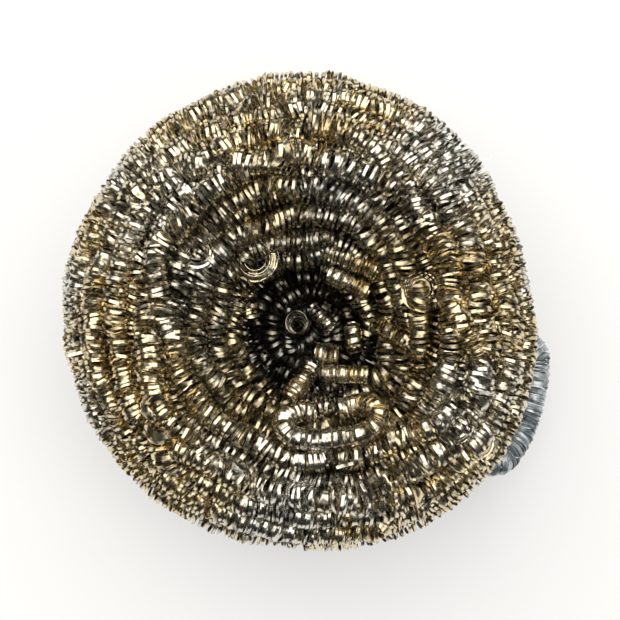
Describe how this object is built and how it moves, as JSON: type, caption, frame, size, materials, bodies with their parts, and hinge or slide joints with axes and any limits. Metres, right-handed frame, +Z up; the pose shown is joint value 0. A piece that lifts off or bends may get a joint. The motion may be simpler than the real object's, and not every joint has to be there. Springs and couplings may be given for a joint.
{
  "type": "pot scourer",
  "caption": "Round wire pot scourer: curled flat steel wire wound into a squashed ball with a hollow in its top.",
  "frame": {"origin": "on the table, under the middle of the overall width and depth", "axes": "+Z up, with the hollow open upwards; +X right and +Y to the top of the picture, which looks down on the ball"},
  "size_m": [0.0824, 0.0794, 0.046],
  "materials": {
    "scourer_wire": "bright, warm toned flat wire",
    "inner_wire": "the same wire, deep inside the ball"
  },
  "bodies": {
    "root": {"hollow_wall_strand": "scourer_wire", "hollow_edge_strand": "scourer_wire", "crown_inner_strand": "scourer_wire", "crown_middle_strand": "scourer_wire", "crown_outer_strand": "scourer_wire", "shoulder_strand": "scourer_wire", "rim_upper_strand": "scourer_wire", "rim_lower_strand": "scourer_wire", "belly_strand": "scourer_wire", "base_outer_strand": "scourer_wire", "base_inner_strand": "scourer_wire", "wall_strand_upper": "scourer_wire", "wall_strand_lower": "scourer_wire", "wall_strand_front": "scourer_wire", "knot_end_strand": "scourer_wire", "front_loop": "scourer_wire", "side_loop": "scourer_wire", "inner_turns_core": "inner_wire", "centre_knot": "inner_wire"}
  },
  "joints": []
}
